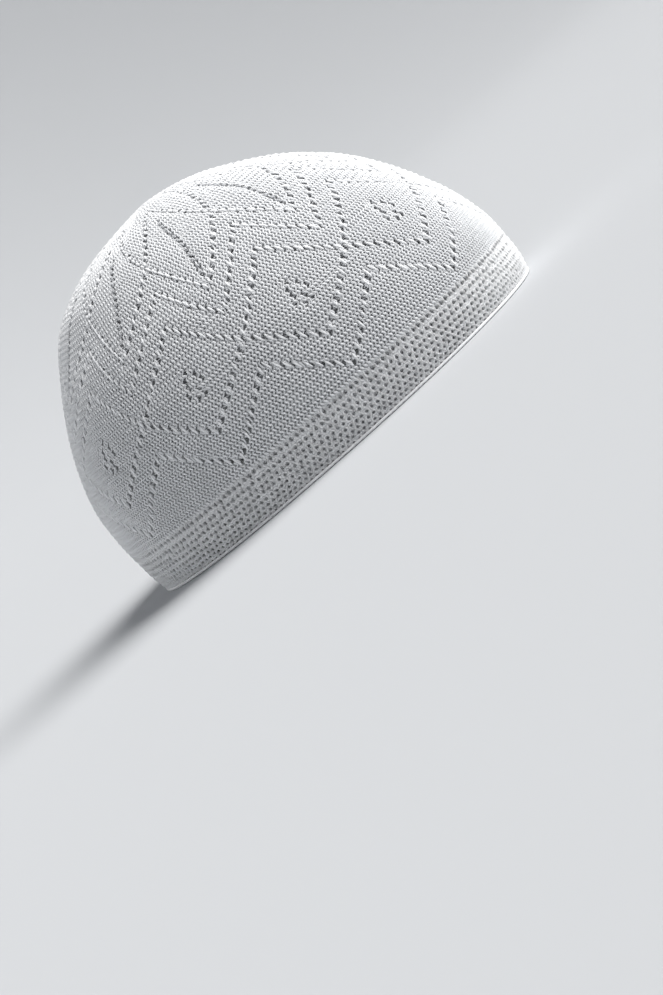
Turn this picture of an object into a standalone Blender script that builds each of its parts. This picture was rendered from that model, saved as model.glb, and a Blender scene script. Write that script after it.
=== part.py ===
"""A seamless knitted skull cap that stands on its rim.

Metres, +Z up. The forehead side is at +X and the origin is the middle of the rim's underside.
The cap is a domed crown of thin knit, a thicker honeycomb band below it, and a round cast-on edge.
"""
import math
from collections import namedtuple

import bmesh
import bpy
import numpy as np
from mathutils import Vector

# Driving sizes of the whole cap
RIM_LENGTH = 0.1920
RIM_WIDTH = 0.1536
CAP_HEIGHT = 0.1205

# Heights of the two lower pieces, and the gap that separate meshes keep
EDGE_HEIGHT = 0.0014
BAND_HEIGHT = 0.0190
SEAM_GAP = 0.0003

# Thickness of the knit
CROWN_WALL = 0.0015
BAND_WALL = 0.0021
EDGE_WALL = 0.0026
# How far the band and the edge stand out past the crown's face
BAND_PROUD = 0.0002
EDGE_PROUD = 0.0004

# Facets round the cap and up each piece
FACETS_ROUND = 72
CROWN_RINGS = 19
BAND_RINGS = 3

# The outline of the cap in level sections, from the rim to the top of the crown.
# rise is a share of CAP_HEIGHT, front and back are shares of half RIM_LENGTH, side is a share of
# half RIM_WIDTH, and square is the exponent of the section's oval, 2 for an ellipse.
Section = namedtuple("Section", "rise front back side square")
SECTIONS = [
    Section(0.000, 1.000, 1.000, 1.000, 2.15),
    Section(0.058, 1.019, 1.014, 1.016, 2.15),
    Section(0.133, 1.024, 1.021, 1.027, 2.14),
    Section(0.232, 1.020, 1.024, 1.034, 2.12),
    Section(0.349, 0.983, 1.010, 1.029, 2.10),
    Section(0.465, 0.922, 0.964, 1.001, 2.08),
    Section(0.573, 0.846, 0.900, 0.944, 2.06),
    Section(0.672, 0.758, 0.824, 0.863, 2.05),
    Section(0.755, 0.656, 0.750, 0.767, 2.04),
    Section(0.830, 0.540, 0.675, 0.658, 2.03),
    Section(0.892, 0.411, 0.589, 0.540, 2.02),
    Section(0.942, 0.286, 0.474, 0.410, 2.01),
    Section(0.975, 0.172, 0.318, 0.264, 2.00),
    Section(0.994, 0.057, 0.130, 0.104, 2.00),
    Section(1.000, -0.026, 0.026, 0.000, 2.00),
]

# Soft dents in the back of the crown, where the knit sinks between its shaping rows.
# bearing and spread are degrees round the cap from the forehead, rise and tall are shares of
# CAP_HEIGHT, and depth is a share of CROWN_WALL.
Dent = namedtuple("Dent", "bearing spread rise tall depth")
DENTS = [
    Dent(178.0, 24.0, 0.930, 0.045, 0.60),
    Dent(215.0, 16.0, 0.800, 0.060, 0.45),
    Dent(148.0, 18.0, 0.700, 0.070, 0.50),
    Dent(330.0, 14.0, 0.620, 0.060, 0.35),
]

# The openwork: one rosette of eyelets in each lattice diamond round the crown
ROSETTES = 10
# Where the first rosette is, as a share of the way round the knit from the forehead to the left
ROSETTE_START = 0.002
ROSETTE_HEIGHT = 0.0577
EYELET_WIDTH = 0.0014
EYELET_TALL = 0.0019
# Spacing of the eyelet chart: one wale across and two knitted rows up
WALE_PITCH = 0.00175
PAIR_PITCH = 0.0028
# Chart of one rosette, top row first: wales to the left (-) or right (+) of the rosette's middle
ROSETTE_CHART = [(0,), (-1, 2), (-1, 3), (-2, 1), (0, 2)]

KNIT_COLOUR = (0.86, 0.87, 0.885, 1.0)
BAND_COLOUR = (0.83, 0.84, 0.86, 1.0)
EDGE_COLOUR = (0.92, 0.92, 0.91, 1.0)
KNIT_ROUGHNESS = 0.85


def clear_objects():
    """Empty the scene of objects."""
    for thing in list(bpy.data.objects):
        bpy.data.objects.remove(thing, do_unlink=True)


def blend_sections(place):
    """The section at a place along the table: 0 is its first row, and a half lies midway."""
    last = len(SECTIONS) - 1
    row = min(int(place), last - 1)
    share = place - row
    here = np.array(SECTIONS[row])
    after = np.array(SECTIONS[row + 1])
    before = np.array(SECTIONS[row - 1]) if row > 0 else 2 * here - after
    if row + 2 <= last:
        beyond = np.array(SECTIONS[row + 2])
    else:
        # Past the top the outline comes down the other side, so its reaches change places and sign
        near = SECTIONS[last - 1]
        beyond = np.array([near.rise, -near.back, -near.front, -near.side, near.square])
    slope_here = (after - before) / 2
    slope_after = (beyond - here) / 2
    square, cube = share ** 2, share ** 3
    return ((2 * cube - 3 * square + 1) * here + (cube - 2 * square + share) * slope_here
            + (3 * square - 2 * cube) * after + (cube - square) * slope_after)


def place_at_height(height):
    """The place along the section table where the cap's face is at this height."""
    low, high = 0.0, float(len(SECTIONS) - 1)
    for _ in range(40):
        middle = (low + high) / 2
        if blend_sections(middle)[0] * CAP_HEIGHT < height:
            low = middle
        else:
            high = middle
    return (low + high) / 2


def face_point(place, bearing):
    """A point of the cap's outer face, before its dents; bearing is in radians from the forehead."""
    rise, front, back, side, square = blend_sections(place)
    reach = (front + back) / 2 * RIM_LENGTH / 2
    middle = (front - back) / 2 * RIM_LENGTH / 2
    half = side * RIM_WIDTH / 2
    across = abs(math.cos(bearing)) ** square
    along = abs(math.sin(bearing)) ** square
    tiny = 1e-9
    radius = (across / max(reach, tiny) ** square + along / max(half, tiny) ** square) ** (-1 / square)
    return np.array([middle + radius * math.cos(bearing), radius * math.sin(bearing), rise * CAP_HEIGHT])


def bearing_at_share(place, share):
    """The bearing that lies this share of the way round the level section from the forehead."""
    bearings = np.radians(np.arange(361))
    points = np.array([face_point(place, bearing) for bearing in bearings])
    steps = np.linalg.norm(np.diff(points, axis=0), axis=1)
    lengths = np.concatenate([[0.0], np.cumsum(steps)])
    return float(np.interp((share % 1.0) * lengths[-1], lengths, bearings))


def face_normal(place, bearing):
    """The outward normal of the cap's face, by small steps up and round."""
    step = 1e-3
    top = len(SECTIONS) - 1.02
    place = min(place, top)
    up = face_point(min(place + step, top + step), bearing) - face_point(max(place - step, 0), bearing)
    turn = face_point(place, bearing + step) - face_point(place, bearing - step)
    normal = np.cross(turn, up)
    return normal / np.linalg.norm(normal)


def dent_depth(bearing, height):
    """How far the dents push the knit in at this spot, in metres."""
    depth = 0.0
    for dent in DENTS:
        turn = (math.degrees(bearing) - dent.bearing + 180) % 360 - 180
        climb = height / CAP_HEIGHT - dent.rise
        away = (turn / dent.spread) ** 2 + (climb / dent.tall) ** 2
        depth += dent.depth * CROWN_WALL * math.exp(-away)
    return depth


def wall_rings(places, wall, proud, level_ends):
    """Outer and inner rings of points for a stretch of knit.

    level_ends says, for the first and the last ring, whether the wall is cut level there.
    """
    outer, inner = [], []
    for number, place in enumerate(places):
        out_ring, in_ring = [], []
        cut = (number == 0 and level_ends[0]) or (number == len(places) - 1 and level_ends[1])
        for facet in range(FACETS_ROUND):
            bearing = 2 * math.pi * facet / FACETS_ROUND
            point = face_point(place, bearing)
            normal = face_normal(place, bearing)
            if cut:
                lean = math.hypot(normal[0], normal[1])
                normal = np.array([normal[0], normal[1], 0]) / lean ** 2
            point = point + normal * (proud - dent_depth(bearing, point[2]))
            out_ring.append(point)
            in_ring.append(point - normal * wall)
        outer.append(out_ring)
        inner.append(in_ring)
    return outer, inner


def add_rings(mesh, rings):
    """Put rings of points into a mesh as vertices."""
    return [[mesh.verts.new(Vector(point)) for point in ring] for ring in rings]


def bridge(mesh, lower, upper):
    """Quads between two rings, facing away from the cap's axis when upper is above lower."""
    count = len(lower)
    for number in range(count):
        after = (number + 1) % count
        mesh.faces.new((lower[number], lower[after], upper[after], upper[number]))


def close_top(mesh, ring, peak, outward):
    """A fan of triangles from a ring up to one point."""
    tip = mesh.verts.new(Vector(peak))
    count = len(ring)
    for number in range(count):
        after = (number + 1) % count
        corners = (ring[number], ring[after], tip)
        mesh.faces.new(corners if outward else corners[::-1])


def make_wall(mesh, outer_points, inner_points, outer_peak=None, inner_peak=None):
    """Join rings into one closed wall, open at the bottom, and at the top too without peaks."""
    outer = add_rings(mesh, outer_points)
    inner = add_rings(mesh, inner_points)
    for number in range(len(outer) - 1):
        bridge(mesh, outer[number], outer[number + 1])
        bridge(mesh, inner[number + 1], inner[number])
    bridge(mesh, inner[0], outer[0])
    if outer_peak is None:
        bridge(mesh, outer[-1], inner[-1])
    else:
        close_top(mesh, outer[-1], outer_peak, True)
        close_top(mesh, inner[-1], inner_peak, False)


def plain_material(name, colour):
    """A matt yarn finish."""
    material = bpy.data.materials.new(name)
    material.use_nodes = True
    shader = material.node_tree.nodes["Principled BSDF"]
    shader.inputs["Base Color"].default_value = colour
    shader.inputs["Roughness"].default_value = KNIT_ROUGHNESS
    shader.inputs["Metallic"].default_value = 0.0
    return material


def add_object(name, mesh, colour, smooth_angle=40.0):
    """Turn a bmesh into a named object with its own material."""
    data = bpy.data.meshes.new(name)
    mesh.to_mesh(data)
    mesh.free()
    data.shade_smooth()
    data.set_sharp_from_angle(angle=math.radians(smooth_angle))
    thing = bpy.data.objects.new(name, data)
    data.materials.append(plain_material(name + "_yarn", colour))
    bpy.context.scene.collection.objects.link(thing)
    return thing


def top_points():
    """The outer and inner points at the very top of the crown."""
    peak = face_point(len(SECTIONS) - 1, 0.0)
    return peak, peak - np.array([0, 0, CROWN_WALL])


def make_crown():
    """The dome of thin knit, from just above the band to the top."""
    start = place_at_height(EDGE_HEIGHT + BAND_HEIGHT + 2 * SEAM_GAP)
    top = len(SECTIONS) - 1.35
    places = [start + (top - start) * ring / (CROWN_RINGS - 1) for ring in range(CROWN_RINGS)]
    outer, inner = wall_rings(places, CROWN_WALL, 0.0, (True, False))
    mesh = bmesh.new()
    make_wall(mesh, outer, inner, *top_points())
    return add_object("crown", mesh, KNIT_COLOUR)


def make_band():
    """The honeycomb band round the head, cut level above and below."""
    bottom = EDGE_HEIGHT + SEAM_GAP
    heights = [bottom + BAND_HEIGHT * ring / BAND_RINGS for ring in range(BAND_RINGS + 1)]
    places = [place_at_height(height) for height in heights]
    outer, inner = wall_rings(places, BAND_WALL, BAND_PROUD, (True, True))
    mesh = bmesh.new()
    make_wall(mesh, outer, inner)
    return add_object("rim_band", mesh, BAND_COLOUR)


def make_edge():
    """The cast-on edge: a small rounded roll with a flat underside that the cap stands on."""
    side = EDGE_WALL / 2
    # Corners of the roll's section: out from its middle, and up from the floor
    corners = [(0.70 * side, 0.0), (side, 0.40 * EDGE_HEIGHT), (0.62 * side, EDGE_HEIGHT),
               (-0.62 * side, EDGE_HEIGHT), (-side, 0.40 * EDGE_HEIGHT), (-0.70 * side, 0.0)]
    mesh = bmesh.new()
    rings = []
    for out, up in corners:
        ring = []
        for facet in range(FACETS_ROUND):
            bearing = 2 * math.pi * facet / FACETS_ROUND
            normal = face_normal(0.0, bearing)
            normal = np.array([normal[0], normal[1], 0]) / math.hypot(normal[0], normal[1])
            point = face_point(0.0, bearing) + normal * (EDGE_PROUD - side + out)
            point[2] = up
            ring.append(point)
        rings.append(ring)
    rings = add_rings(mesh, rings)
    for number in range(len(rings)):
        bridge(mesh, rings[number], rings[(number + 1) % len(rings)])
    return add_object("cast_on_edge", mesh, EDGE_COLOUR)


def add_eyelet(mesh, place, bearing):
    """One six-sided cutter, upright oval in section, through the crown at this spot."""
    centre = Vector(face_point(place, bearing))
    normal = Vector(face_normal(place, bearing))
    level = Vector((0, 0, 1)).cross(normal).normalized()
    up = normal.cross(level)
    reach = 2 * CROWN_WALL
    corners = []
    for number in range(6):
        angle = math.radians(60 * number + 30)
        corners.append(level * math.cos(angle) * EYELET_WIDTH / 2 + up * math.sin(angle) * EYELET_TALL / 2)
    inside = [mesh.verts.new(centre - normal * reach + corner) for corner in corners]
    outside = [mesh.verts.new(centre + normal * reach + corner) for corner in corners]
    bridge(mesh, inside, outside)
    mesh.faces.new(outside)
    mesh.faces.new(inside[::-1])


def cut_rosettes(crown):
    """Cut the eyelets of every rosette through the crown with one Boolean."""
    mesh = bmesh.new()
    rows = len(ROSETTE_CHART)
    centre_line = place_at_height(ROSETTE_HEIGHT)
    for number in range(ROSETTES):
        middle = bearing_at_share(centre_line, ROSETTE_START + number / ROSETTES)
        for row, wales in enumerate(ROSETTE_CHART):
            place = place_at_height(ROSETTE_HEIGHT + ((rows - 1) / 2 - row) * PAIR_PITCH)
            for wale in wales:
                spot = face_point(place, middle)
                turn = wale * WALE_PITCH / math.hypot(spot[0], spot[1])
                add_eyelet(mesh, place, middle + turn)
    cutter = add_object("rosette_cutter", mesh, KNIT_COLOUR)
    cutter.hide_render = True
    cutter.display_type = "WIRE"
    cut = crown.modifiers.new("rosettes", "BOOLEAN")
    cut.operation = "DIFFERENCE"
    cut.object = cutter


def build():
    """Make the cap."""
    clear_objects()
    crown = make_crown()
    cut_rosettes(crown)
    make_band()
    make_edge()


build()
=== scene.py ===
# %% [markdown]
# # A white knitted skull cap, stitch by stitch
#
# The real cap is machine-knitted in one round: a honeycomb band about 19 mm tall, and above it a
# thin dome of openwork whose eyelets draw zigzags and diamonds. From a step away it looks like a
# plain white surface. It is really a net of yarn with air between, and that is what catches the
# light.
#
# A bump map on a smooth dome would be quick, but it has no holes and its outline is a clean curve.
# Here each yarn is laid as a path on the cap's surface, and Geometry Nodes give the paths their
# thickness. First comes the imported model, which fixes the size and place of everything.

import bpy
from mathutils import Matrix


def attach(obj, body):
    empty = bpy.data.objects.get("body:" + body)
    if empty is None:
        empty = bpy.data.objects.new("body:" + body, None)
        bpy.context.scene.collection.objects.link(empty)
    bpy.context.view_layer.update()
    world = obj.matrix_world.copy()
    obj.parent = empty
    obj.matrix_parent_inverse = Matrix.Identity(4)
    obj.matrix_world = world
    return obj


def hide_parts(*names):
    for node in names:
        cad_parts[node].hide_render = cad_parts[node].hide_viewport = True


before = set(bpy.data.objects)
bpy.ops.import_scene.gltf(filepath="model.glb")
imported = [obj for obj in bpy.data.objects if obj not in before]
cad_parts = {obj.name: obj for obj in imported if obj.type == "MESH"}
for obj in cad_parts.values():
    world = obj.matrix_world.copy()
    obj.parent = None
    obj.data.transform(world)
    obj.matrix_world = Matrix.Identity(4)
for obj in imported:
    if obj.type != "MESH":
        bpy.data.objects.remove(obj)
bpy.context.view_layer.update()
print("nodes to dress:", sorted(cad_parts))

# %% Modules and the unit of the knit
import math
from collections import namedtuple

import bpy
import numpy as np
from mathutils import Matrix, Vector

# Knitting is measured in millimetres; Blender works in metres.
MM = 0.001
SEED = 7
luck = np.random.default_rng(SEED)

# %% [markdown]
# ## The surface that the knit lies on
#
# A cap like this has no straight line anywhere, but it does follow a rule: a stack of level ovals,
# a little fuller at the back than at the front. A short table holds the ovals as shares of the
# cap's own length, width and height, and a smooth blend runs through its rows. The solids of the
# frame follow the same table, so yarn laid on this surface lies on them too.

# %% The cap's outline
RIM_LENGTH = 192.0
RIM_WIDTH = 153.6
CAP_HEIGHT = 120.5

Section = namedtuple("Section", "rise front back side square")
SECTIONS = [
    Section(0.000, 1.000, 1.000, 1.000, 2.15),
    Section(0.058, 1.019, 1.014, 1.016, 2.15),
    Section(0.133, 1.024, 1.021, 1.027, 2.14),
    Section(0.232, 1.020, 1.024, 1.034, 2.12),
    Section(0.349, 0.983, 1.010, 1.029, 2.10),
    Section(0.465, 0.922, 0.964, 1.001, 2.08),
    Section(0.573, 0.846, 0.900, 0.944, 2.06),
    Section(0.672, 0.758, 0.824, 0.863, 2.05),
    Section(0.755, 0.656, 0.750, 0.767, 2.04),
    Section(0.830, 0.540, 0.675, 0.658, 2.03),
    Section(0.892, 0.411, 0.589, 0.540, 2.02),
    Section(0.942, 0.286, 0.474, 0.410, 2.01),
    Section(0.975, 0.172, 0.318, 0.264, 2.00),
    Section(0.994, 0.057, 0.130, 0.104, 2.00),
    Section(1.000, -0.026, 0.026, 0.000, 2.00),
]


def sections_at(places):
    """Smooth sections between the table's rows; place 0 is the first row, 0.5 is half-way on."""
    table = np.array(SECTIONS)
    rise, front, back, side, square = table[-2]
    over_the_top = [rise, -back, -front, -side, square]
    rows = np.vstack([2 * table[0] - table[1], table, over_the_top])
    first = np.minimum(places.astype(int), len(table) - 2)
    t = (places - first)[:, None]
    a, b, c, d = (rows[first + step] for step in range(4))
    return b + t / 2 * (c - a + t * (2 * a - 5 * b + 4 * c - d + t * (3 * (b - c) + d - a)))


def ring_points(places, bearings):
    """Points of the outer face, one row for each place and one column for each bearing."""
    rise, front, back, side, square = (column[:, None] for column in sections_at(places).T)
    reach = np.maximum((front + back) / 4 * RIM_LENGTH, 1e-6)
    middle = (front - back) / 4 * RIM_LENGTH
    half = np.maximum(side / 2 * RIM_WIDTH, 1e-6)
    across, along = np.abs(np.cos(bearings)), np.abs(np.sin(bearings))
    radius = ((across / reach) ** square + (along / half) ** square) ** (-1 / square)
    x, y = middle + radius * np.cos(bearings), radius * np.sin(bearings)
    return np.stack([x, y, rise * CAP_HEIGHT + 0 * radius], axis=-1)


# %% [markdown]
# A knitter counts stitches along a row and rows up the cap, so the surface needs the same two
# measures: the share of the way round, and the climb from the rim along the knit. An unwrapped
# mesh could give them, but a UV map stretches near the top. So a fine net of points is measured
# once, in real millimetres, and after that any yarn can be laid with two numbers and a depth.

# %% Measure the surface
LEVELS = 700
ROUND = 720


def measure_skin():
    """Points, normals, climb and girth of the surface on an even net of levels and shares."""
    places = np.linspace(0, len(SECTIONS) - 1, LEVELS + 1)
    rings = ring_points(places, np.linspace(0, 2 * math.pi, 2 * ROUND + 1))
    steps = np.linalg.norm(np.diff(rings, axis=1), axis=2)
    lengths = np.hstack([np.zeros((LEVELS + 1, 1)), np.cumsum(steps, axis=1)])
    points = np.empty((LEVELS + 1, ROUND + 1, 3))
    for level in range(LEVELS + 1):
        wanted = np.linspace(0, lengths[level, -1], ROUND + 1)
        for axis in range(3):
            points[level, :, axis] = np.interp(wanted, lengths[level], rings[level, :, axis])
    turn = np.roll(points[:, :-1], -1, axis=1) - np.roll(points[:, :-1], 1, axis=1)
    turn = np.concatenate([turn, turn[:, :1]], axis=1)
    normals = np.cross(turn, np.gradient(points, axis=0))
    normals[-2:] = (0, 0, 1)
    normals /= np.linalg.norm(normals, axis=2, keepdims=True)
    rises = np.linalg.norm(np.diff(points, axis=0), axis=2).mean(axis=1)
    return points, normals, np.append(0, np.cumsum(rises)), lengths[:, -1]


skin_points, skin_normals, skin_climb, skin_girth = measure_skin()
TOP = skin_climb[-1]
print(f"rim {skin_girth[0]:.0f} mm round, {TOP:.0f} mm from the rim to the top of the crown")

# %% [markdown]
# A soft cap is never a perfect dome. Where it was folded for packing, the knit sinks by half a
# millimetre or more. A sculpted mesh could show that too, but a dent is only a place, a spread and
# a depth, so four rows of a table and one smooth falloff do it. The solids have the same four
# dents, a third less deep.

# %% The soft dents
# bearing and spread in degrees, rise and tall as shares of the height, depth in millimetres
Dent = namedtuple("Dent", "bearing spread rise tall depth")
DENTS = [
    Dent(178.0, 24.0, 0.930, 0.045, 0.90),
    Dent(215.0, 16.0, 0.800, 0.060, 0.68),
    Dent(148.0, 18.0, 0.700, 0.070, 0.75),
    Dent(330.0, 14.0, 0.620, 0.060, 0.52),
]


def dent_depth(points):
    """How far the knit sinks at these points."""
    bearing = np.degrees(np.arctan2(points[:, 1], points[:, 0]))
    depth = np.zeros(len(points))
    for dent in DENTS:
        turn = (bearing - dent.bearing + 180) % 360 - 180
        climb = points[:, 2] / CAP_HEIGHT - dent.rise
        depth += dent.depth * np.exp(-(turn / dent.spread) ** 2 - (climb / dent.tall) ** 2)
    return depth


print(f"{len(DENTS)} dents, the deepest {max(dent.depth for dent in DENTS)} mm")


# %% [markdown]
# Now the surface can answer the knitter's question: where is the spot a share of the way round, at
# a climb, and a little in front of or behind the surface?

# %% Places on the surface
def girth_at(climb):
    """Length round the cap at this climb."""
    return np.interp(climb, skin_climb, skin_girth)


def on_skin(share, climb, out):
    """Places (metres) and outward directions for a share of the way round, a climb and a depth."""
    level = np.interp(climb, skin_climb, np.arange(LEVELS + 1))
    column = (share % 1.0) * ROUND
    low, left = np.minimum(level.astype(int), LEVELS - 1), np.minimum(column.astype(int), ROUND - 1)
    up, right = (level - low)[:, None], (column - left)[:, None]

    def blend(net):
        below = net[low, left] * (1 - right) + net[low, left + 1] * right
        above = net[low + 1, left] * (1 - right) + net[low + 1, left + 1] * right
        return below * (1 - up) + above * up

    points, normals = blend(skin_points), blend(skin_normals)
    normals /= np.linalg.norm(normals, axis=1, keepdims=True)
    depth = out - dent_depth(points)
    return (points + normals * depth[:, None]) * MM, normals


# %% [markdown]
# ## From path to yarn
#
# A yarn could be a curve object with a bevel. Hundreds of wales and rows would make hundreds of
# curves, each with its own settings. One Geometry Nodes tree does it for a whole mesh of edges
# instead: the edges turn into curves, a small profile is swept along them, and each point brings
# its own half thickness and the direction that faces out. The tree also notes how far along the
# yarn and how far round it each spot is, which the finish needs later for the twist of the plies.

# %% Two helpers for node trees
def add_input(tree, name, kind, value=None):
    """A named input of a node tree; what comes back is its identifier."""
    socket = tree.interface.new_socket(name, in_out="INPUT", socket_type=kind)
    if value is not None:
        socket.default_value = value
    return socket.identifier


def add_maths(tree, operation, first, second=None):
    """One math node; each value is a number or the output of another node."""
    step = tree.nodes.new("ShaderNodeMath")
    step.operation = operation
    for socket, value in zip(step.inputs, (first, second)):
        if isinstance(value, (int, float)):
            socket.default_value = value
        elif value is not None:
            tree.links.new(value, socket)
    return step.outputs["Value"]


# %% Sweep a profile along a curve
# given is the node that brings the values of the tree's inputs
def sweep_profile(tree, given, curve, thickness):
    """Nodes that sweep a round profile along a curve and note where each spot of the yarn is."""
    node, link = tree.nodes.new, tree.links.new
    along, keep_along = node("GeometryNodeSplineParameter"), node("GeometryNodeCaptureAttribute")
    keep_along.capture_items.new("FLOAT", "Along")
    link(curve, keep_along.inputs["Geometry"])
    link(along.outputs["Length"], keep_along.inputs["Along"])

    circle, where = node("GeometryNodeCurvePrimitiveCircle"), node("GeometryNodeInputPosition")
    circle.inputs["Radius"].default_value = 1.0
    link(given.outputs["Sides"], circle.inputs["Resolution"])
    keep_round = node("GeometryNodeCaptureAttribute")
    keep_round.capture_items.new("VECTOR", "Round")
    link(circle.outputs["Curve"], keep_round.inputs["Geometry"])
    link(where.outputs["Position"], keep_round.inputs["Round"])
    press, flatten = node("ShaderNodeCombineXYZ"), node("GeometryNodeTransform")
    press.inputs["Y"].default_value = 1.0
    press.inputs["Z"].default_value = 1.0
    link(given.outputs["Flatness"], press.inputs["X"])
    link(keep_round.outputs["Geometry"], flatten.inputs["Geometry"])
    link(press.outputs["Vector"], flatten.inputs["Scale"])

    sweep = node("GeometryNodeCurveToMesh")
    sweep.inputs["Fill Caps"].default_value = True
    link(thickness, sweep.inputs["Scale"])
    link(keep_along.outputs["Geometry"], sweep.inputs["Curve"])
    link(flatten.outputs["Geometry"], sweep.inputs["Profile Curve"])
    last = sweep.outputs["Mesh"]
    for name, kind, value in (("along", "FLOAT", keep_along.outputs["Along"]),
                              ("round", "FLOAT_VECTOR", keep_round.outputs["Round"])):
        store = node("GeometryNodeStoreNamedAttribute")
        store.data_type = kind
        store.inputs["Name"].default_value = name
        link(last, store.inputs["Geometry"])
        link(value, store.inputs["Value"])
        last = store.outputs["Geometry"]
    smooth = node("GeometryNodeSetShadeSmooth")
    link(last, smooth.inputs["Geometry"])
    return smooth.outputs["Geometry"]


# %% The start and the end of each tree
def start_tree(name, guide):
    """A tree with the inputs that all yarn needs; guide is the mesh that the yarn lies on."""
    tree = bpy.data.node_groups.new(name, "GeometryNodeTree")
    inputs = {"guide": add_input(tree, guide, "NodeSocketGeometry")}
    inputs["sides"] = add_input(tree, "Sides", "NodeSocketInt", 4)
    inputs["flatness"] = add_input(tree, "Flatness", "NodeSocketFloat", 1.0)
    inputs["finish"] = add_input(tree, "Finish", "NodeSocketMaterial")
    return tree, inputs


def end_tree(tree, given, geometry):
    """The last nodes: real meshes, not instances, with their material."""
    tree.interface.new_socket("Yarn", in_out="OUTPUT", socket_type="NodeSocketGeometry")
    node, link = tree.nodes.new, tree.links.new
    realize, paint = node("GeometryNodeRealizeInstances"), node("GeometryNodeSetMaterial")
    result = node("NodeGroupOutput")
    link(geometry, realize.inputs["Geometry"])
    link(realize.outputs["Geometry"], paint.inputs["Geometry"])
    link(given.outputs["Finish"], paint.inputs["Material"])
    link(paint.outputs["Geometry"], result.inputs["Yarn"])


# %% The tree that turns paths into yarn
def make_yarn_tree():
    """Build the tree and return it with the identifiers of its inputs."""
    tree, inputs = start_tree("yarn along paths", "Paths")
    node, link = tree.nodes.new, tree.links.new
    given = node("NodeGroupInput")
    to_curve = node("GeometryNodeMeshToCurve")
    link(given.outputs["Paths"], to_curve.inputs["Mesh"])

    outward = node("GeometryNodeInputNamedAttribute")
    outward.data_type = "FLOAT_VECTOR"
    outward.inputs["Name"].default_value = "outward"
    set_normal = node("GeometryNodeSetCurveNormal")
    set_normal.mode = "FREE"
    link(to_curve.outputs["Curve"], set_normal.inputs["Curve"])
    link(outward.outputs["Attribute"], set_normal.inputs["Normal"])

    girth = node("GeometryNodeInputNamedAttribute")
    girth.data_type = "FLOAT"
    girth.inputs["Name"].default_value = "half_thickness"
    curve, thickness = set_normal.outputs["Curve"], girth.outputs["Attribute"]
    end_tree(tree, given, sweep_profile(tree, given, curve, thickness))
    return tree, inputs


yarn_tree, yarn_inputs = make_yarn_tree()
print("the yarn tree's inputs:", ", ".join(yarn_inputs))

# %% [markdown]
# A piece of knit is then made in four steps: put the points and edges in a mesh, give it the tree,
# take the evaluated result as a plain mesh, and remove the modifier. Nothing live is left behind.

# %% Turn paths into a mesh of edges
Path = namedtuple("Path", "share climb out half closed")


def points_to_mesh(name, points):
    """A mesh that has only points."""
    mesh = bpy.data.meshes.new(name)
    mesh.vertices.add(len(points))
    mesh.vertices.foreach_set("co", points.ravel())
    return mesh


def add_attribute(mesh, name, values):
    """Give each point of a mesh a number or, where the values come in threes, a direction."""
    kind, field = ("FLOAT_VECTOR", "vector") if values.ndim == 2 else ("FLOAT", "value")
    mesh.attributes.new(name, kind, "POINT").data.foreach_set(field, values.ravel())


def paths_to_mesh(name, paths):
    """A mesh of edges from many paths, with the attributes that the tree reads."""
    counts = [len(path.share) for path in paths]
    share, climb, out, half = (np.concatenate([path[k] for path in paths]) for k in range(4))
    points, outward = on_skin(share, climb, out)
    edges, start = [], 0
    for path, count in zip(paths, counts):
        first = np.arange(start, start + count)
        second = np.roll(first, -1)
        pairs = np.stack([first, second], axis=1)
        edges.append(pairs if path.closed else pairs[:-1])
        start += count
    edges = np.concatenate(edges)
    mesh = points_to_mesh(name, points)
    mesh.edges.add(len(edges))
    mesh.edges.foreach_set("vertices", edges.ravel())
    add_attribute(mesh, "half_thickness", half * MM)
    add_attribute(mesh, "outward", outward)
    return mesh


# %% Run a tree and keep what it makes
pieces = []


def run_tree(name, mesh, tree, inputs, **values):
    """Run a tree on a mesh, with its inputs set, and keep the result as a plain object."""
    guide = bpy.data.objects.new(name + "_guide", mesh)
    bpy.context.scene.collection.objects.link(guide)
    modifier = guide.modifiers.new("knit", "NODES")
    modifier.node_group = tree
    for key, value in values.items():
        modifier[inputs[key]] = value
    graph = bpy.context.evaluated_depsgraph_get()
    plain = bpy.data.meshes.new_from_object(
        guide.evaluated_get(graph), preserve_all_data_layers=True, depsgraph=graph)
    guide.modifiers.remove(modifier)
    bpy.data.objects.remove(guide)
    plain.name = name
    thing = bpy.data.objects.new(name, plain)
    bpy.context.scene.collection.objects.link(thing)
    pieces.append(thing)
    triangles = sum(len(face.vertices) - 2 for face in plain.polygons)
    print(f"{name}: {triangles} triangles")


def lay_yarn(name, paths, finish, sides=4, flatness=1.0):
    """One piece of yarn from many paths."""
    mesh = paths_to_mesh(name + "_paths", paths)
    run_tree(name, mesh, yarn_tree, yarn_inputs, sides=sides, flatness=flatness, finish=finish)


# %% [markdown]
# ## What white yarn looks like
#
# Fine cotton and polyester yarn is two plies twisted together, matt, with a soft halo of fibre
# ends. None of that can be seen from a step away, but it breaks up the highlight, so the white
# never looks like plastic. One node group makes the twist and the fibres as a height, and each
# material uses it with its own values. Only the tone and the height leave the group; the shader
# stays outside.

# %% The twist and the fibres
FIBRE_DETAIL = 3.0
CLOUD_SCALE = 60.0


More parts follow.
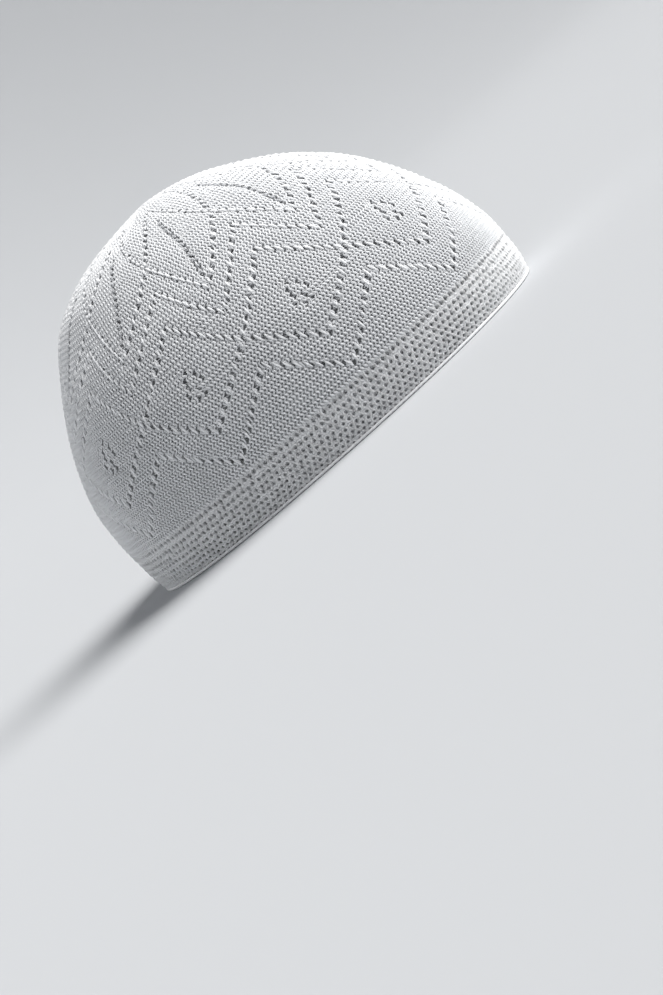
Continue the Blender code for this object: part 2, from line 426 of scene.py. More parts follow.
def make_twist_group():
    """A shader node group: height of the plies and fibres, and a faint change of tone."""
    group = bpy.data.node_groups.new("twisted plies", "ShaderNodeTree")
    for name, value in (("Ply Pitch", 0.0016), ("Ply Depth", 0.6), ("Fibre Scale", 2600.0),
                        ("Fibre Depth", 0.4)):
        socket = group.interface.new_socket(name, in_out="INPUT", socket_type="NodeSocketFloat")
        socket.default_value = value
    group.interface.new_socket("Height", in_out="OUTPUT", socket_type="NodeSocketFloat")
    group.interface.new_socket("Tone", in_out="OUTPUT", socket_type="NodeSocketFloat")
    node, link = group.nodes.new, group.links.new
    given, result = node("NodeGroupInput"), node("NodeGroupOutput")

    along, around = node("ShaderNodeAttribute"), node("ShaderNodeAttribute")
    along.attribute_name, around.attribute_name = "along", "round"
    split = node("ShaderNodeSeparateXYZ")
    link(around.outputs["Vector"], split.inputs["Vector"])
    angle = add_maths(group, "ARCTAN2", split.outputs["Y"], split.outputs["X"])
    turns = add_maths(group, "DIVIDE", along.outputs["Fac"], given.outputs["Ply Pitch"])
    phase = add_maths(group, "ADD", add_maths(group, "MULTIPLY", turns, math.pi), angle)
    plies = add_maths(group, "ABSOLUTE", add_maths(group, "SINE", phase))

    place = node("ShaderNodeTexCoord")
    fibres = node("ShaderNodeTexNoise")
    fibres.inputs["Detail"].default_value = FIBRE_DETAIL
    link(place.outputs["Object"], fibres.inputs["Vector"])
    link(given.outputs["Fibre Scale"], fibres.inputs["Scale"])
    ply_height = add_maths(group, "MULTIPLY", plies, given.outputs["Ply Depth"])
    fibre_height = add_maths(group, "MULTIPLY", fibres.outputs["Fac"], given.outputs["Fibre Depth"])
    link(add_maths(group, "ADD", ply_height, fibre_height), result.inputs["Height"])

    clouds = node("ShaderNodeTexNoise")
    clouds.inputs["Scale"].default_value = CLOUD_SCALE
    link(place.outputs["Object"], clouds.inputs["Vector"])
    link(clouds.outputs["Fac"], result.inputs["Tone"])
    return group


twist_group = make_twist_group()
outputs = [item.name for item in twist_group.interface.items_tree if item.in_out == "OUTPUT"]
print("the group puts out:", ", ".join(outputs))


# %% [markdown]
# White yarn lets light in: it comes out again about a millimetre away and softens the shade
# between the stitches. Plain white paint would look hard beside it, so the finish has some
# subsurface scattering and a faint sheen. The yarns of the cap differ only in tone, and that tone
# paints light and shade: the rows lie deeper and are painted a little greyer, as painted shade; the
# stitches beside the eyelets and the band are painted lighter, as painted light.

# %% One finish for each kind of yarn
YARN_LOOK = {
    "Roughness": 0.85,
    "Sheen Weight": 0.15,
    "Sheen Roughness": 0.5,
    "Subsurface Weight": 0.8,
    "Subsurface Radius": (1.0, 1.0, 1.0),
    "Subsurface Scale": 0.0012,
}
SHADE_DROP = 0.04
TONE_STOPS = (0.35, 0.65)
TWIST_BUMP = 0.35
TWIST_HEIGHT = 0.00012


def make_yarn_finish(name, light, ply_pitch):
    """Matt white yarn whose tone wanders between light and a shade just below it."""
    material = bpy.data.materials.new(name)
    material.use_nodes = True
    tree = material.node_tree
    shader = tree.nodes["Principled BSDF"]
    for quality, value in YARN_LOOK.items():
        shader.inputs[quality].default_value = value
    twist = tree.nodes.new("ShaderNodeGroup")
    twist.node_tree = twist_group
    twist.inputs["Ply Pitch"].default_value = ply_pitch
    shade = [tone - SHADE_DROP for tone in light]
    ramp = tree.nodes.new("ShaderNodeValToRGB")
    for stop, place, tone in zip(ramp.color_ramp.elements, TONE_STOPS, (shade, light)):
        stop.position = place
        stop.color = (*tone, 1.0)
    relief = tree.nodes.new("ShaderNodeBump")
    relief.inputs["Strength"].default_value = TWIST_BUMP
    relief.inputs["Distance"].default_value = TWIST_HEIGHT
    tree.links.new(twist.outputs["Tone"], ramp.inputs["Fac"])
    tree.links.new(ramp.outputs["Color"], shader.inputs["Base Color"])
    tree.links.new(twist.outputs["Height"], relief.inputs["Height"])
    tree.links.new(relief.outputs["Normal"], shader.inputs["Normal"])
    return material


wale_finish = make_yarn_finish("wale_yarn", (0.80, 0.81, 0.83), ply_pitch=0.0016)
# the row yarn is painted greyer than the wales: painted shade where the rows lie deeper
row_finish_painted_shade = make_yarn_finish("row_yarn", (0.76, 0.77, 0.79), ply_pitch=0.0014)
# the lace yarn is painted lighter than the wales: painted light on the raised stitches
lace_finish_painted_light = make_yarn_finish("lace_yarn", (0.84, 0.85, 0.87), ply_pitch=0.0016)
# the band yarn is painted lighter than the wales: painted light on the band
band_finish_painted_light = make_yarn_finish("band_yarn", (0.90, 0.91, 0.925), ply_pitch=0.0018)
edge_finish = make_yarn_finish("cast_on_yarn", (0.87, 0.875, 0.88), ply_pitch=0.0018)
finishes = [wale_finish, row_finish_painted_shade, lace_finish_painted_light, band_finish_painted_light, edge_finish]
print("finishes:", ", ".join(finish.name for finish in finishes))

# %% [markdown]
# ## The openwork chart
#
# The pattern is a traditional one: zigzag lines of eyelets that nest into diamonds, with a small
# rosette in each diamond. Over a thousand holes could be placed by eye, but a knitter works from a
# chart, and so does this script. The pattern repeats ten times round the cap, so one repeat is
# charted and the rest follow. A chart has two measures: how far across the repeat (0 and 1 are the
# diamonds' columns) and the climb in millimetres. The whole pattern leans a little towards the
# wearer's left as it climbs, which comes from the twist of the yarn.

# %% One repeat of the chart
REPEATS = 10
COLUMN_START = 0.0923
# climb, and how far the pattern has turned by then as a share of the way round
LEAN = [(24, 0.0), (58, 0.009), (83, 0.017), (99, 0.028), (114, 0.039), (131, 0.050),
        (148, 0.058), (175, 0.062)]

# A line of eyelets from one spot of the chart to another, with how many eyelets it has and how
# long the raised stitches beside them are, in millimetres
Line = namedtuple("Line", "across climb to_across to_climb eyelets stitch")
LINES = [
    Line(0.0, 24.0, 0.5, 46.5, 9, 3.8),
    Line(0.0, 38.5, 0.5, 59.0, 8, 3.8),
    Line(0.5, 59.0, 0.0, 83.5, 9, 3.5),
    Line(0.5, 72.0, 0.0, 99.5, 9, 3.2),
    Line(0.5, 84.5, 0.0, 113.0, 9, 2.9),
    Line(0.0, 113.0, -0.5, 153.0, 12, 1.9),
    Line(0.5, 91.0, 0.5, 131.0, 12, 1.9),
]
ROSETTE_CLIMB = 58.5
ROSETTE_PAIR = 2.8
ROSETTE_WALE = 1.75
# the wales that have a hole, counted from the rosette's middle, in each pair of rows from the top
ROSETTE_CHART = [(0,), (-1, 2), (-1, 3), (-2, 1), (0, 2)]


def table_at(table, climb):
    """A value from a table of (climb, value)."""
    return np.interp(climb, *zip(*table))


def share_of(across, climb, repeat):
    """Share of the way round for a spot of the chart."""
    return COLUMN_START + table_at(LEAN, climb) + (repeat + across) / REPEATS


def repeat_width(climb):
    """Width of one repeat in millimetres."""
    return girth_at(climb) / REPEATS


Eyelet = namedtuple("Eyelet", "across climb")


def chart_eyelets():
    """Every eyelet of one repeat; one where two lines meet is counted once."""
    spots = {}
    for line in LINES:
        for step in range(line.eyelets + 1):
            t = step / line.eyelets
            across = line.across + t * (line.to_across - line.across)
            climb = line.climb + t * (line.to_climb - line.climb)
            for mirror in (1, -1):
                place = (round(mirror * across % 1.0, 4) % 1.0, round(climb, 2))
                spots[place] = Eyelet(*place)
    middle = len(ROSETTE_CHART) // 2
    for row, wales in enumerate(ROSETTE_CHART):
        for wale in wales:
            climb = ROSETTE_CLIMB + (middle - row) * ROSETTE_PAIR
            across = wale * ROSETTE_WALE / repeat_width(ROSETTE_CLIMB) % 1.0
            spots[(round(across, 4), round(climb, 2))] = Eyelet(across, climb)
    return list(spots.values())


eyelets = chart_eyelets()
print(f"{len(eyelets)} eyelets in a repeat, {len(eyelets) * REPEATS} in the cap")

# %% [markdown]
# An eyelet is made by moving a stitch onto its neighbour: the yarn round it is pushed aside and
# left as a ring. A boolean would cut the yarns and leave ends. So nothing is cut here: each point
# of each yarn that lies near an eyelet moves away from it, most of all in the middle. The knit
# also sinks a little along the lines, which puffs up the diamonds between them.

# %% Open the eyelets
EYELET_HALF_WIDTH = 0.88
EYELET_HALF_TALL = 0.95
# distances from an eyelet's middle are counted in its own halves: up to where yarn is pushed,
# up to where it counts as close, and the square of where nothing happens any more
EYELET_REACH = 2.3
CLOSE_REACH = 2.1
FAR_SQUARED = 12.0
LINE_SINK = 0.35
LINE_SINK_WIDTH = 2.2


def open_eyelets(across, climb):
    """Push chart points away from the eyelets; also how far each sinks, and how near one it is."""
    width = repeat_width(climb)
    x, y = across * width, climb.copy()
    sink, close = np.zeros(len(x)), np.zeros(len(x))
    for eyelet in eyelets:
        for turn in (-1, 0, 1):
            dx = x - (eyelet.across + turn) * width
            dy = y - eyelet.climb
            squared = (dx / EYELET_HALF_WIDTH) ** 2 + (dy / EYELET_HALF_TALL) ** 2
            near = squared < FAR_SQUARED
            if not near.any():
                continue
            dx, dy = dx[near], dy[near]
            away = np.sqrt(squared[near]) + 1e-6
            pushed = np.where(away < EYELET_REACH, 1 + away * (1 - 1 / EYELET_REACH), away)
            grow = pushed / away - 1
            x[near] += dx * grow
            y[near] += dy * grow
            fall = np.exp(-(dx ** 2 + dy ** 2) / LINE_SINK_WIDTH ** 2)
            sink[near] = np.maximum(sink[near], LINE_SINK * fall)
            close[near] = np.maximum(close[near], np.clip(CLOSE_REACH - away, 0, 1))
    return x / width, y, sink, close


# %% [markdown]
# ## Wales and rows
#
# A wale is a column of stitches. The dome narrows as it climbs, so wales have to end: the knitter
# decreases on the eyelet lines, where it shows least. Here each wale has a weight that fades to
# nothing where it ends, and the wales of a repeat share its width by weight, so the neighbours
# close up softly. The number that are left at each height follows from the girth and the stitch
# width.

# %% Which wales end where
ROW_START = 19.2
ROW_PITCH = [(20, 2.32), (60, 2.45), (110, 2.6), (175, 2.6)]
WALE_PITCH = [(20, 1.66), (60, 1.64), (85, 1.55), (105, 1.45), (120, 1.38), (175, 1.3)]
LAST_ROW = TOP - 3.4
FADE = 5.0
NEVER = TOP + 50.0
# the zigzag along which wales end: the climb of one of its corners, and the height of one stroke
CREASE_CLIMB = 59
CREASE_STROKE = 49


def row_climbs():
    """Climb of every second row: each stitch of this knit is two rows tall."""
    climbs = [ROW_START]
    while climbs[-1] < LAST_ROW:
        climbs.append(climbs[-1] + table_at(ROW_PITCH, climbs[-1]))
    return np.array(climbs)


def wale_ends(rows):
    """Climb at which each wale of a repeat ends."""
    wanted = np.minimum.accumulate(repeat_width(rows) / table_at(WALE_PITCH, rows))
    count = int(round(wanted[0]))
    ends = np.full(count, NEVER)
    side = 1
    for climb, still in zip(rows, wanted):
        while (ends > climb).sum() > max(1, round(still)):
            left = np.flatnonzero(ends > climb)
            crease = 0.5 + 0.5 * side * abs((climb - CREASE_CLIMB) / CREASE_STROKE % 2 - 1)
            place = (np.arange(len(left)) + 0.5) / len(left)
            ends[left[np.argmin(abs(place - crease % 1.0))]] = climb
            side = -side
    return ends


def wale_places(climb, ends):
    """Across values of all wales, one row for each climb; and their weights."""
    weight = np.clip((ends[None] - climb[:, None]) / FADE, 0, 1)
    weight = weight * weight * (3 - 2 * weight)
    upto = np.cumsum(weight, axis=1)
    return (upto - weight / 2) / upto[:, -1:], weight


rows = row_climbs()
ends = wale_ends(rows)
print(f"{len(ends) * REPEATS} wales at the band, {(ends > rows[-1]).sum() * REPEATS} at the top, "
      f"{len(rows)} pairs of rows")

# %% [markdown]
# The stitches of this knit are two rows tall and lean one way and back, so each wale is a soft S
# that repeats with every pair of rows, and the dark dots beside it come in slanting pairs. True
# loops that hook into each other would need ten times the faces and look the same from a step
# away. One waving yarn for each wale is enough, with a stronger lean at the back, where the knit
# is stretched least, and a little unevenness, because no real yarn is perfectly even.

# %% Small unevenness
WOBBLE_SPAN = 5
WOBBLE_GAIN = 2.2
WOBBLE_SIDE = 0.035
WOBBLE_YARN = 0.03


def wobble(count, size):
    """Small smooth unevenness along a yarn; the gain makes up for what the smoothing takes."""
    rough = luck.normal(0, size, count + WOBBLE_SPAN - 1)
    return np.convolve(rough, np.ones(WOBBLE_SPAN) / WOBBLE_SPAN, mode="valid") * WOBBLE_GAIN


# %% The wales of one repeat
STEPS = 4
LEAST_WEIGHT = 0.12


def wale_template():
    """Every wale of one repeat: chart places, after the eyelets open."""
    steps = np.interp(np.arange((len(rows) - 1) * STEPS + 1) / STEPS, np.arange(len(rows)), rows)
    phase = np.arange(len(steps)) / STEPS * 2 * math.pi
    across, weight = wale_places(steps, ends)
    wales = []
    for wale in range(len(ends)):
        alive = weight[:, wale] > LEAST_WEIGHT
        u, climb, sink, _ = open_eyelets(across[alive, wale], steps[alive])
        sine, cosine = np.sin(phase[alive]), np.cos(phase[alive])
        wales.append((u, climb, sink, sine, cosine, weight[alive, wale]))
    return wales


template = wale_template()
print(f"{len(template)} wales in a repeat, {sum(len(wale[0]) for wale in template)} points")

# %% Lay the wales
WALE_HALF = 0.48
WALE_OUT = -0.46
WALE_WAVE = 0.15
WALE_SWELL = 0.12
WALE_TAPER = 0.25
SLIM_POWER = 0.4
SWAY_FRONT, SWAY_BACK = 0.25, 0.36
LEAST_GIRTH = 8.0
# which repeats go in which piece: all ten in one would be too many faces for one mesh
WALE_PIECES = {"wales_front": (7, 8, 9, 0), "wales_back": (3, 4, 5, 6), "wales_left": (1, 2)}


def lay_wales(repeats):
    """The paths of all wales in these repeats."""
    paths = []
    for repeat in repeats:
        for u, climb, sink, sine, cosine, weight in template:
            share, count = share_of(u, climb, repeat), len(u)
            back = 0.5 - 0.5 * np.cos(2 * math.pi * share)
            sway = (SWAY_FRONT + (SWAY_BACK - SWAY_FRONT) * back) * table_at(WALE_PITCH, climb)
            girth = np.maximum(girth_at(climb), LEAST_GIRTH)
            share = share + (sway * sine + wobble(count, WOBBLE_SIDE)) / girth
            out = WALE_OUT - sink - WALE_WAVE * cosine + wobble(count, WOBBLE_YARN)
            slim = (table_at(WALE_PITCH, climb) / WALE_PITCH[0][1]) ** SLIM_POWER
            taper = 1 - WALE_TAPER + WALE_TAPER * weight
            swell = 1 - WALE_SWELL * cosine + wobble(count, WOBBLE_YARN)
            paths.append(Path(share, climb, out, WALE_HALF * slim * taper * swell, False))
    return paths


for name, repeats in WALE_PIECES.items():
    lay_yarn("crown_" + name, lay_wales(repeats), wale_finish)

# %% [markdown]
# Rows run level, right round the cap. Two things are seen of them between the wales: a thin loop
# of yarn at each turn of the S, and the flat back of the knit, which closes the net from inside.
# Without that back, daylight would come straight through both walls and speckle the cap. So there
# are two kinds of ring: round ones just behind the wales, and wide flat ones deeper down. Both get
# thinner beside an eyelet, which leaves the hole open. Towards the top the knit closes up, so the
# back lies less deep there.

# %% Rows between the wales
ROW_HALF = 0.38
ROW_THIN = 0.85
ROW_AT_WALE, ROW_BETWEEN = -0.87, -0.50
BAR_HALF = 0.92
BAR_THIN = 0.35
BAR_FLATNESS = 0.6
BAR_OUT = [(20, -1.25), (85, -1.15), (120, -0.95), (175, -0.85)]
CLOSE_SINK = 0.3


def lay_ring(climb, half, thin, out_at_wale, out_between, points_per_wale):
    """One row of yarn right round the cap, behind the wales."""
    places, weight = wale_places(np.array([climb]), ends)
    u = places[0][weight[0] > LEAST_WEIGHT]
    if points_per_wale == 2:
        after = np.append(u[1:], u[0] + 1)
        u = np.stack([u, (u + after) / 2], axis=1).ravel()
    out = np.where(np.arange(len(u)) % points_per_wale == 0, out_at_wale, out_between)
    u, up, sink, close = open_eyelets(u, np.full(len(u), climb))
    shares = [share_of(u, up, repeat) for repeat in range(REPEATS)]
    count = len(u) * REPEATS
    up, out = np.tile(up, REPEATS), np.tile(out - sink - CLOSE_SINK * close, REPEATS)
    half = np.tile(half * (1 - thin * close), REPEATS)
    return Path(np.concatenate(shares), up + wobble(count, WOBBLE_YARN), out, half, True)


bridges = [lay_ring(climb, ROW_HALF, ROW_THIN, ROW_AT_WALE, ROW_BETWEEN, 2) for climb in rows]
middles = (rows[1:] + rows[:-1]) / 2
bar_outs = table_at(BAR_OUT, middles)
bars = [lay_ring(climb, BAR_HALF, BAR_THIN, out, out, 1) for climb, out in zip(middles, bar_outs)]
lower_third = len(bridges) // 3
# the rows and the flat back take the row yarn, painted greyer as painted shade
lay_yarn("crown_rows_low", bridges[:lower_third], row_finish_painted_shade, sides=3)
lay_yarn("crown_rows_high", bridges[lower_third:], row_finish_painted_shade, sides=3)
lay_yarn("crown_bars", bars, row_finish_painted_shade, sides=3, flatness=BAR_FLATNESS)

# %% [markdown]
# Beside each eyelet lies the stitch that was moved over: a short, plump strand that stands proud
# of the knit. It is what makes the lines read as twisted cords. Each could be a path like the
# wales, but they differ only in length and lean. So one strand is made inside a second tree and
# set on points, each turned to its own line. It is bent into a low arch first, because its ends
# dip into the knit.

# %% Set a shape on points
# how far below and above a spot the cap is felt for to find which way it lies
LIE_STEP = 0.5


def set_on_points(tree, given, shape):
    """Nodes that set a shape on each point, turned and stretched by the point's attributes."""
    node, link = tree.nodes.new, tree.links.new
    turn, place = node("FunctionNodeAxesToRotation"), node("GeometryNodeInstanceOnPoints")
    turn.primary_axis, turn.secondary_axis = "Z", "X"
    for name, socket in (("lie", turn.inputs["Primary Axis"]),
                         ("outward", turn.inputs["Secondary Axis"]),
                         ("stretch", place.inputs["Scale"])):
        wanted = node("GeometryNodeInputNamedAttribute")
        wanted.data_type = "FLOAT_VECTOR"
        wanted.inputs["Name"].default_value = name
        link(wanted.outputs["Attribute"], socket)
    link(given.outputs["Spots"], place.inputs["Points"])
    link(shape, place.inputs["Instance"])
    link(turn.outputs["Rotation"], place.inputs["Rotation"])
    return place.outputs["Instances"]


def spots_to_mesh(name, share, climb, out, lean, stretch):
    """A mesh of points with the directions and sizes that a shape takes at each."""
    points, outward = on_skin(share, climb, out)
    side = lean * LIE_STEP / girth_at(climb)
    ahead, _ = on_skin(share + side, climb + LIE_STEP, out)
    behind, _ = on_skin(share - side, climb - LIE_STEP, out)
    mesh = points_to_mesh(name, points)
    add_attribute(mesh, "lie", ahead - behind)
    add_attribute(mesh, "outward", outward)
    add_attribute(mesh, "stretch", stretch)
    return mesh


# %% The tree of the raised stitch
STITCH_HALF = 0.54
STITCH_POINTS = 5
STITCH_END = 0.3
STITCH_FULLNESS = 0.6
STITCH_ARCH = 0.40


def make_stitch_tree():
    """A tree that sets a plump strand on each point."""
    tree, inputs = start_tree("raised stitches", "Spots")
    inputs["half"] = add_input(tree, "Half Thickness", "NodeSocketFloat", STITCH_HALF * MM)
    node, link = tree.nodes.new, tree.links.new
    given = node("NodeGroupInput")
    line = node("GeometryNodeCurvePrimitiveLine")
    line.inputs["Start"].default_value = (0.0, 0.0, -0.5 * MM)
    line.inputs["End"].default_value = (0.0, 0.0, 0.5 * MM)
    resample, factor = node("GeometryNodeResampleCurve"), node("GeometryNodeSplineParameter")
    resample.inputs["Count"].default_value = STITCH_POINTS
    link(line.outputs["Curve"], resample.inputs["Curve"])
    turn = add_maths(tree, "MULTIPLY", factor.outputs["Factor"], math.pi - 2 * STITCH_END)
    plump = add_maths(tree, "SINE", add_maths(tree, "ADD", turn, STITCH_END))
    rounded = add_maths(tree, "POWER", plump, STITCH_FULLNESS)
    thickness = add_maths(tree, "MULTIPLY", rounded, given.outputs["Half Thickness"])
    from_middle = add_maths(tree, "SUBTRACT", factor.outputs["Factor"], 0.5)
    squared = add_maths(tree, "MULTIPLY", from_middle, from_middle)
    arch, bend = node("ShaderNodeCombineXYZ"), node("GeometryNodeSetPosition")
    link(add_maths(tree, "MULTIPLY", squared, -4 * STITCH_ARCH * MM), arch.inputs["X"])
    link(resample.outputs["Curve"], bend.inputs["Geometry"])
    link(arch.outputs["Vector"], bend.inputs["Offset"])
    strand = sweep_profile(tree, given, bend.outputs["Geometry"], thickness)
    end_tree(tree, given, set_on_points(tree, given, strand))
    return tree, inputs


stitch_tree, stitch_inputs = make_stitch_tree()
print("the stitch tree's inputs:", ", ".join(stitch_inputs))

# %% Lay the raised stitches
STITCH_OUT = -0.22
STITCH_LEAN = -0.27
SHAPE_SIDES = 5


def lay_stitches(name, finish):
    """Raised stitches half-way between each eyelet and the next on its line."""
    spots = []
    for line in LINES:
        span, rise = line.to_across - line.across, line.to_climb - line.climb
        for mirror in (1, -1):
            lean = 0.0 if mirror * span >= 0 else STITCH_LEAN
            for step in range(line.eyelets):
                t = (step + 0.5) / line.eyelets
                across, climb = mirror * (line.across + t * span), line.climb + t * rise
                spots.append((across, climb, lean, line.stitch))
    across, climb, lean, length = np.array(spots).T
    share = np.concatenate([share_of(across, climb, repeat) for repeat in range(REPEATS)])
    climb, lean, length = (np.tile(column, REPEATS) for column in (climb, lean, length))
    out = np.full(len(share), STITCH_OUT - 0.5 * LINE_SINK)
    stretch = np.stack([np.ones(len(length)), np.ones(len(length)), length], axis=1)
    mesh = spots_to_mesh(name + "_spots", share, climb, out, lean, stretch)
    run_tree(name, mesh, stitch_tree, stitch_inputs, half=STITCH_HALF * MM, sides=SHAPE_SIDES,
             flatness=1.0, finish=finish)


lay_stitches("crown_lace", lace_finish_painted_light)

# %% [markdown]
# ## The honeycomb band
#
# The band is knitted twice as thick. Its stitches gather the yarn in a ring round each hole, and
# the holes stand in eight rows, each shifted against the one below, so they also read as slanting
# lines. Yarns swept up and along the band would cross at right angles and leave square holes. So
# one ring is made instead, bent like a saddle so that its sides stand proud of its top and foot,
# and it is set on 1,680 points with a little unevenness. The rings overlap and grow together into
# a honeycomb.

# %% The tree of the ring
BAND_HOLES = [1.3, 3.1, 5.1, 7.3, 9.7, 12.2, 14.9, 18.1]
BAND_FOOT = 0.1
BAND_TOP = 21.8
BAND_COUNT = 210
BAND_SHIFT = -0.61
RING_HALF = 0.54
RING_POINTS = 8
RING_SADDLE = 0.12


def make_ring_tree():
    """A tree that sets a ring of yarn on each point."""
    tree, inputs = start_tree("rings of yarn", "Spots")
    inputs["half"] = add_input(tree, "Half Thickness", "NodeSocketFloat", RING_HALF * MM)
    node, link = tree.nodes.new, tree.links.new
    given, circle = node("NodeGroupInput"), node("GeometryNodeCurvePrimitiveCircle")
    circle.inputs["Resolution"].default_value = RING_POINTS
    circle.inputs["Radius"].default_value = MM
    upright = node("GeometryNodeTransform")
    upright.inputs["Rotation"].default_value = (0.0, math.pi / 2, 0.0)
    link(circle.outputs["Curve"], upright.inputs["Geometry"])
    where, split = node("GeometryNodeInputPosition"), node("ShaderNodeSeparateXYZ")
    link(where.outputs["Position"], split.inputs["Vector"])
    beside = add_maths(tree, "MULTIPLY", split.outputs["Y"], split.outputs["Y"])
    above = add_maths(tree, "MULTIPLY", split.outputs["Z"], split.outputs["Z"])
    bent = add_maths(tree, "SUBTRACT", beside, above)
    push, bend = node("ShaderNodeCombineXYZ"), node("GeometryNodeSetPosition")
    link(add_maths(tree, "MULTIPLY", bent, RING_SADDLE / MM), push.inputs["X"])
    link(upright.outputs["Geometry"], bend.inputs["Geometry"])
    link(push.outputs["Vector"], bend.inputs["Offset"])
    curve, thickness = bend.outputs["Geometry"], given.outputs["Half Thickness"]
    end_tree(tree, given, set_on_points(tree, given, sweep_profile(tree, given, curve, thickness)))
    return tree, inputs


ring_tree, ring_inputs = make_ring_tree()
print("the ring tree's inputs:", ", ".join(ring_inputs))

# %% Lay the rings of the band
BAND_OUT = -1.12
RING_DEPTH = 1.9
# how uneven the rings are: sideways, up and out in millimetres, and as shares in width and lean
UNEVEN = {"side": 0.05, "up": 0.10, "out": 0.04, "wide": 0.03, "lean": 0.15}


def lay_band(name, finish):
    """A ring for each hole of the band."""
    edges = np.array([BAND_FOOT, *BAND_HOLES, BAND_TOP])
    tall = (edges[2:] - edges[:-2]) / 4
    row, place = np.divmod(np.arange(len(BAND_HOLES) * BAND_COUNT), BAND_COUNT)
    count = len(row)
    side, up, outward, wider, lean = (luck.normal(0, size, count) for size in UNEVEN.values())
    share = (place + row * BAND_SHIFT) / BAND_COUNT + side / girth_at(0)
    climb = np.array(BAND_HOLES)[row] + up * (row > 0)
    wide = girth_at(climb) / BAND_COUNT / 2 * (1 + wider)
    stretch = np.stack([np.full(count, RING_DEPTH), wide, tall[row]], axis=1)
    mesh = spots_to_mesh(name + "_spots", share, climb, BAND_OUT + outward, lean, stretch)
    run_tree(name, mesh, ring_tree, ring_inputs, half=RING_HALF * MM, sides=SHAPE_SIDES,
             flatness=1.0, finish=finish)


# the rings take the band yarn, painted lighter as painted light
lay_band("band_rings", band_finish_painted_light)

# %% [markdown]
# A second layer lies behind, so the holes of the band are deep dimples and no daylight comes
# through them. It only has to be there and lie in the shade, so a flat ring of yarn behind each
# row of holes is enough. The lowest row needs none, because the rolled edge closes it.

# %% The back of the band
BAND_BACK_HALF = 1.15
BAND_BACK_FLATNESS = 0.4
BAND_BACK_OUT = -2.60


def lay_band_back():
    """One flat ring of yarn behind each row of holes but the lowest."""
    around, same = np.arange(BAND_COUNT) / BAND_COUNT, np.ones(BAND_COUNT)
    out, half = BAND_BACK_OUT * same, BAND_BACK_HALF * same
    return [Path(around, climb * same, out, half, True) for climb in BAND_HOLES[1:]]


# the back of the band also takes the band yarn, painted lighter as painted light
lay_yarn("band_back", lay_band_back(), band_finish_painted_light, flatness=BAND_BACK_FLATNESS)

# %% [markdown]
# ## The cast-on edge
#
# Knitting starts with a tight chain of loops that rolls under a little. From outside it is one
# thick, bright yarn with a bead for every stitch, and the cap rests on it. A plain tube would look
# like plastic piping, so the thickness of the path changes along it: one thin point and two thick
# ones for each stitch.

# %% The cast-on edge
EDGE_CLIMB = 0.74
EDGE_OUT = -0.30
EDGE_THIN, EDGE_THICK = 0.56, 0.72
BEAD_POINTS = 3


def lay_edge():
    """The rolled edge: one thick yarn with a bead for each stitch."""
    number = np.arange(BEAD_POINTS * BAND_COUNT)
    count = len(number)
    half = np.where(number % BEAD_POINTS == 0, EDGE_THIN, EDGE_THICK)
    return [Path(number / count, np.full(count, EDGE_CLIMB), np.full(count, EDGE_OUT), half, True)]


lay_yarn("edge_roll", lay_edge(), edge_finish, sides=6)

# %% [markdown]
# ## On the frame
#
# The frame's three solids stay as they are underneath; in the picture the yarn takes their place.
# Every piece rides on the root, because nothing in the cap moves against anything else.

# %% Put the pieces on the frame
REPLACED = {"crown": "crown", "band": "rim_band", "edge": "cast_on_edge"}
for piece in pieces:
    kind = piece.name.split("_")[0]
    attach(piece, "root")
    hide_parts(REPLACED[kind])
print(f"{len(pieces)} pieces of yarn on the frame")

# %% [markdown]
# ## Floor, light and camera
#
# The cap stands on its rim, as it would by itself. The camera is so low that a flat floor would
# end in a hard horizon behind it. So the floor curves up into a pale wall all round, as in a
# studio. It is round, because then it looks the same from every side.

# %% The floor's shape
# metres, because a studio is far larger than a stitch
FLOOR_FLAT = 1.8
SWEEP_RADIUS = 1.5
SWEEP_STEPS = 16
WALL_TOP = 1.6
FLOOR_TURNS = 96


def floor_outline():
    """Radius and height along the floor, from its middle out and up the wall."""
    outline = [(FLOOR_FLAT, 0.0)]
    for angle in np.linspace(0, math.pi / 2, SWEEP_STEPS + 1)[1:]:
        outline.append((FLOOR_FLAT + SWEEP_RADIUS * math.sin(angle),
                        SWEEP_RADIUS * (1 - math.cos(angle))))
    outline.append((FLOOR_FLAT + SWEEP_RADIUS, WALL_TOP))
    return outline


def make_floor_mesh():
    """The outline turned round: a fan of triangles in the middle, and rings of faces outside."""
    points, faces = [(0.0, 0.0, 0.0)], []
    for number, (radius, height) in enumerate(floor_outline()):
        for turn in range(FLOOR_TURNS):
            angle = 2 * math.pi * turn / FLOOR_TURNS
            points.append((radius * math.cos(angle), radius * math.sin(angle), height))
            start = 1 + number * FLOOR_TURNS
            here, beside = start + turn, start + (turn + 1) % FLOOR_TURNS
            if number == 0:
                faces.append((0, here, beside))
            else:
                faces.append((here - FLOOR_TURNS, here, beside, beside - FLOOR_TURNS))
    mesh = bpy.data.meshes.new("studio_floor")
    mesh.from_pydata(points, [], faces)
    mesh.shade_smooth()
    return mesh


# %% The floor in the studio
FLOOR_TONE = (0.515, 0.525, 0.54, 1.0)
FLOOR_ROUGHNESS = 0.9

floor = bpy.data.objects.new("studio_floor", make_floor_mesh())
bpy.context.scene.collection.objects.link(floor)
floor_finish = bpy.data.materials.new("pale_floor")
floor_finish.use_nodes = True
floor_shader = floor_finish.node_tree.nodes["Principled BSDF"]
floor_shader.inputs["Base Color"].default_value = FLOOR_TONE
floor_shader.inputs["Roughness"].default_value = FLOOR_ROUGHNESS
floor.data.materials.append(floor_finish)
print(f"a floor {2 * (FLOOR_FLAT + SWEEP_RADIUS):.1f} m across, {len(floor.data.polygons)} faces")

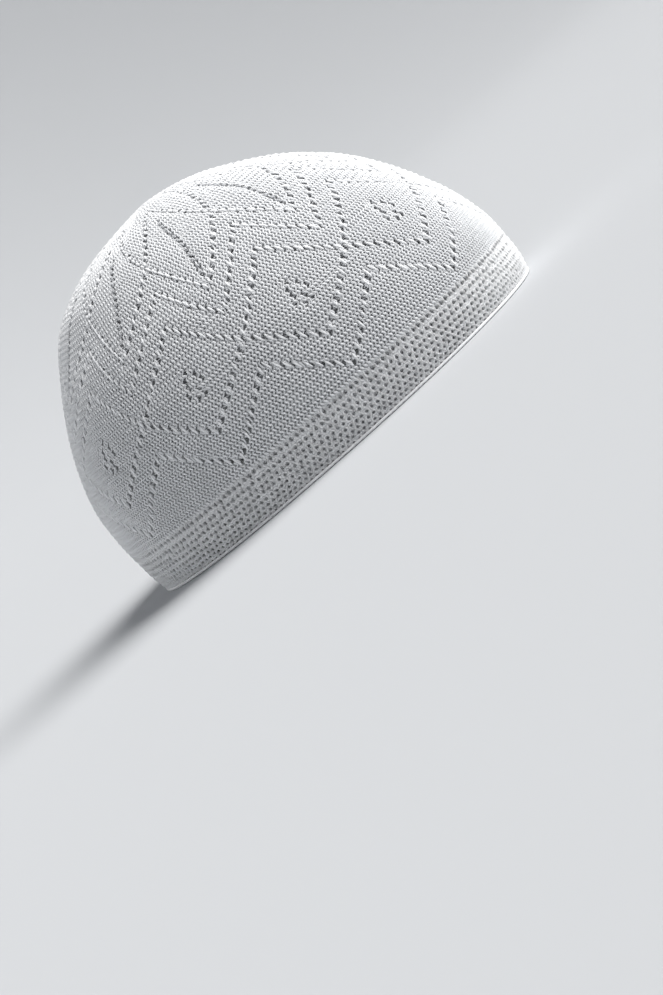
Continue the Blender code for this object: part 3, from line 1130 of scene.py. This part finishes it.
# %% [markdown]
# One broad light comes from high on the forehead's side, under a pale sky. A sun with a wide
# spread gives that soft shade and keeps the background even; a panel near the cap would leave a
# bright patch behind it. The floor throws some of the light back up, which lifts the band out of
# the shade.

# %% The key light
KEY_FROM = Vector((0.70, 0.02, 0.71))
KEY_SPREAD = 48.0
KEY_STRENGTH = 5.0
KEY_COLOUR = (1.0, 0.995, 0.985)

key_data = bpy.data.lights.new("key", "SUN")
key_data.angle = math.radians(KEY_SPREAD)
key_data.energy = KEY_STRENGTH
key_data.color = KEY_COLOUR
key = bpy.data.objects.new("key", key_data)
key.rotation_euler = KEY_FROM.to_track_quat("Z", "Y").to_euler()
bpy.context.scene.collection.objects.link(key)
print(f"the key comes from {math.degrees(math.asin(KEY_FROM.normalized().z)):.0f} degrees up")

# %% The sky
SKY_COLOUR = (0.93, 0.96, 1.0, 1.0)
SKY_STRENGTH = 0.235

sky = bpy.data.worlds.new("studio_air")
bpy.context.scene.world = sky
sky.use_nodes = True
sky.node_tree.nodes["Background"].inputs["Color"].default_value = SKY_COLOUR
sky.node_tree.nodes["Background"].inputs["Strength"].default_value = SKY_STRENGTH

# %% [markdown]
# The photograph looks at the cap's right side from a little above the rim, and the cap leans back
# in it. Here the cap stands level, so the camera is rolled instead. A long lens keeps both ends of
# the rim alike. The camera looks at the rim's middle, which lands on a known spot of the picture.

# %% The camera
PICTURE = (663, 995)
LENS = 100.0
SENSOR = 36.0
CAMERA_TURN = math.radians(4.0)
CAMERA_RISE = math.radians(5.2)
CAMERA_ROLL = math.radians(41.8)
CAMERA_AWAY = 1.1056
RIM_PIXEL = (347.2, 429.0)


def make_camera():
    """The photograph's view: from the wearer's right, a little above the rim, and rolled."""
    back = Vector((math.sin(CAMERA_TURN) * math.cos(CAMERA_RISE),
                   -math.cos(CAMERA_TURN) * math.cos(CAMERA_RISE), math.sin(CAMERA_RISE)))
    right = Vector((0, 0, 1)).cross(back).normalized()
    up = back.cross(right)
    turned_right = right * math.cos(CAMERA_ROLL) - up * math.sin(CAMERA_ROLL)
    turned_up = right * math.sin(CAMERA_ROLL) + up * math.cos(CAMERA_ROLL)
    focal = LENS / SENSOR * max(PICTURE)
    aside, below = ((pixel - size / 2) / focal for pixel, size in zip(RIM_PIXEL, PICTURE))
    aim = Vector((aside, -below, -1))
    axes = Matrix((turned_right, turned_up, back)).transposed()
    nudge = Vector((0, 0, -1)).rotation_difference(aim.normalized()).to_matrix()
    data = bpy.data.cameras.new("studio_camera")
    data.lens = LENS
    data.sensor_width = SENSOR
    data.sensor_fit = "AUTO"
    data.clip_start = 0.02
    camera = bpy.data.objects.new("studio_camera", data)
    turned = axes @ nudge.transposed()
    camera.matrix_world = Matrix.Translation(back * CAMERA_AWAY) @ turned.to_4x4()
    bpy.context.scene.collection.objects.link(camera)
    bpy.context.scene.camera = camera


make_camera()
bpy.context.scene.view_settings.view_transform = "Standard"
print(f"a {LENS:.0f} mm lens, {CAMERA_AWAY:.2f} m from the middle of the rim")
